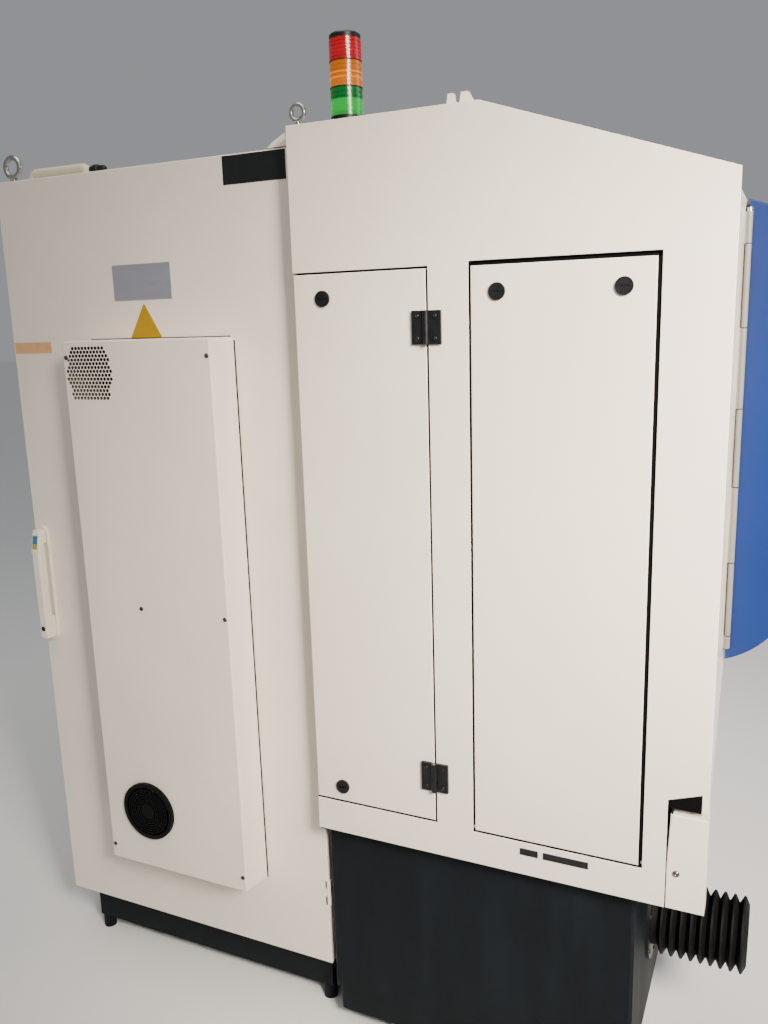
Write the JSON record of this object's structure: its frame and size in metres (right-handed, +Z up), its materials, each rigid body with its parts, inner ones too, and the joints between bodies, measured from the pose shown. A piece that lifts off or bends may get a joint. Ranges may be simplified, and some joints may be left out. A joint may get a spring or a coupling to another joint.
{
  "type": "cnc tool grinder",
  "caption": "Enclosed tool grinding machine with a sloped-roof sheet-metal cabin on a dark base, a side electrical cabinet with cooling cover, a blue front door and a stack light.",
  "frame": {"origin": "middle of the footprint at floor level", "axes": "+Z up, -Y the front with the blue door, -X the machine's left side that the picture shows, +Y the rear with the cabinet"},
  "size_m": [1.545, 1.74, 2.116],
  "materials": {
    "enclosure_paint": "satin warm white powder coat",
    "base_paint": "satin charcoal paint",
    "door_blue": "glossy blue paint",
    "hinge_grey": "light grey paint",
    "black_plastic": "moulded black, satin",
    "bellows_rubber": "matt black rubber",
    "bright_steel": "zinc-plated steel",
    "zinc_plate": "galvanised sheet",
    "machine_grey": "painted casting",
    "ground_steel": "ground and oiled",
    "window_glass": "clear polycarbonate",
    "screen_black": "dark screen",
    "panel_grey": "textured grey",
    "lens_green": "ribbed clear green",
    "lens_amber": "ribbed clear amber",
    "lens_red": "ribbed clear red",
    "conduit_beige": "beige tube",
    "grit_wheel": "abrasive rim",
    "stop_red": "glossy red",
    "start_green": "glossy green"
  },
  "bodies": {
    "machine": {"machine_base": "base_paint", "levelling_feet": "bright_steel", "floor_pan": "base_paint", "side_panel": "enclosure_paint", "corner_cover": "enclosure_paint", "right_panel": "enclosure_paint", "rear_wall": "enclosure_paint", "roof_panel": "enclosure_paint", "front_frame": "enclosure_paint", "service_partition": "enclosure_paint", "cabinet_shell": "enclosure_paint", "cabinet_plinth": "base_paint", "mounting_plate": "zinc_plate", "servo_drives": "panel_grey", "cable_ducts": "panel_grey", "junction_cover": "enclosure_paint", "eye_bolts": "bright_steel", "roof_conduit": "conduit_beige", "lamp_base": "black_plastic", "green_lens": "lens_green", "amber_lens": "lens_amber", "red_lens": "lens_red", "lamp_cap": "black_plastic", "drain_flange": "black_plastic", "drain_bellows": "bellows_rubber", "machine_bed": "machine_grey", "column": "machine_grey", "service_hinge_leaves": "black_plastic", "hinge_pins": "bright_steel", "frame_hinge_leaf": "hinge_grey", "control_panel": "panel_grey", "control_screen": "screen_black"},
    "cabinet_door": {"cabinet_door": "enclosure_paint", "cooling_cover": "enclosure_paint", "cover_screws": "bright_steel", "fan_guard": "black_plastic", "fan_frame": "black_plastic", "handle_plate": "enclosure_paint"},
    "fan": {"fan_impeller": "black_plastic"},
    "handle": {"handle_lever": "enclosure_paint"},
    "service_door": {"service_door": "enclosure_paint", "service_door_leaves": "black_plastic"},
    "service_latch_upper": {"service_latch_upper": "black_plastic"},
    "service_latch_lower": {"service_latch_lower": "black_plastic"},
    "access_panel": {"access_panel": "enclosure_paint"},
    "access_latch_rear": {"access_latch_rear": "black_plastic"},
    "access_latch_front": {"access_latch_front": "black_plastic"},
    "front_door": {"front_door": "door_blue", "door_window": "window_glass", "door_handle": "bright_steel", "door_hinge_leaf": "hinge_grey"},
    "saddle": {"saddle": "ground_steel"},
    "table": {"table": "ground_steel"},
    "workhead": {"workhead": "machine_grey"},
    "collet": {"collet": "ground_steel"},
    "wheel_head": {"wheel_head": "machine_grey"},
    "wheel_pack": {"wheel_pack": "grit_wheel"},
    "stop_button": {"stop_button": "stop_red"},
    "start_button": {"start_button": "start_green"}
  },
  "joints": [
    {"name": "cabinet_door_hinge", "type": "hinge", "parent": "machine", "child": "cabinet_door", "pos_m": [-0.6715, 0.0955, 1.04], "axis": [0, 0, 1], "range_deg": [0, 95]},
    {"name": "fan_spin", "type": "hinge", "parent": "cabinet_door", "child": "fan", "pos_m": [-0.7375, 0.514, 0.496], "axis": [1, 0, 0], "continuous": true},
    {"name": "handle_turn", "type": "hinge", "parent": "cabinet_door", "child": "handle", "pos_m": [-0.6925, 0.843, 0.88], "axis": [-1, 0, 0], "range_deg": [0, 90]},
    {"name": "service_door_hinge", "type": "hinge", "parent": "machine", "child": "service_door", "pos_m": [-0.7345, -0.19375, 1.146], "axis": [0, 0, 1], "range_deg": [0, 95]},
    {"name": "upper_latch_turn", "type": "hinge", "parent": "service_door", "child": "service_latch_upper", "pos_m": [-0.7275, 0.017, 1.6455], "axis": [1, 0, 0], "range_deg": [0, 90]},
    {"name": "lower_latch_turn", "type": "hinge", "parent": "service_door", "child": "service_latch_lower", "pos_m": [-0.7275, 0.017, 0.6405], "axis": [-1, 0, 0], "range_deg": [0, 90]},
    {"name": "access_panel_tilt", "type": "hinge", "parent": "machine", "child": "access_panel", "pos_m": [-0.7215, -0.434, 0.61], "axis": [0, -1, 0], "range_deg": [0, 20]},
    {"name": "rear_panel_latch_turn", "type": "hinge", "parent": "access_panel", "child": "access_latch_rear", "pos_m": [-0.7275, -0.3247, 1.646], "axis": [-1, 0, 0], "range_deg": [0, 90]},
    {"name": "front_panel_latch_turn", "type": "hinge", "parent": "access_panel", "child": "access_latch_front", "pos_m": [-0.7275, -0.5403, 1.646], "axis": [1, 0, 0], "range_deg": [0, 90]},
    {"name": "front_door_hinge", "type": "hinge", "parent": "machine", "child": "front_door", "pos_m": [-0.5735, -0.716, 1.377], "axis": [0, 0, -1], "range_deg": [0, 88]},
    {"name": "saddle_travel", "type": "slide", "parent": "machine", "child": "saddle", "axis": [0, 1, 0], "range_m": [-0.05, 0.05]},
    {"name": "table_travel", "type": "slide", "parent": "saddle", "child": "table", "axis": [1, 0, 0], "range_m": [-0.1, 0.1]},
    {"name": "workhead_swivel", "type": "hinge", "parent": "table", "child": "workhead", "pos_m": [0.0925, -0.315, 0.88], "axis": [0, 0, 1], "range_deg": [-30, 90]},
    {"name": "collet_spin", "type": "hinge", "parent": "workhead", "child": "collet", "pos_m": [-0.0275, -0.315, 0.948], "axis": [1, 0, 0], "continuous": true},
    {"name": "wheel_head_travel", "type": "slide", "parent": "machine", "child": "wheel_head", "axis": [0, 0, 1], "range_m": [-0.06, 0.06]},
    {"name": "wheel_spin", "type": "hinge", "parent": "wheel_head", "child": "wheel_pack", "pos_m": [-0.0775, -0.27, 1.3], "axis": [1, 0, 0], "continuous": true},
    {"name": "stop_press", "type": "slide", "parent": "machine", "child": "stop_button", "axis": [0, 1, 0], "range_m": [0, 0.005], "stiffness_N_per_m": 800, "springref_m": -0.001},
    {"name": "start_press", "type": "slide", "parent": "machine", "child": "start_button", "axis": [0, 1, 0], "range_m": [0, 0.005], "stiffness_N_per_m": 500, "springref_m": -0.001}
  ]
}
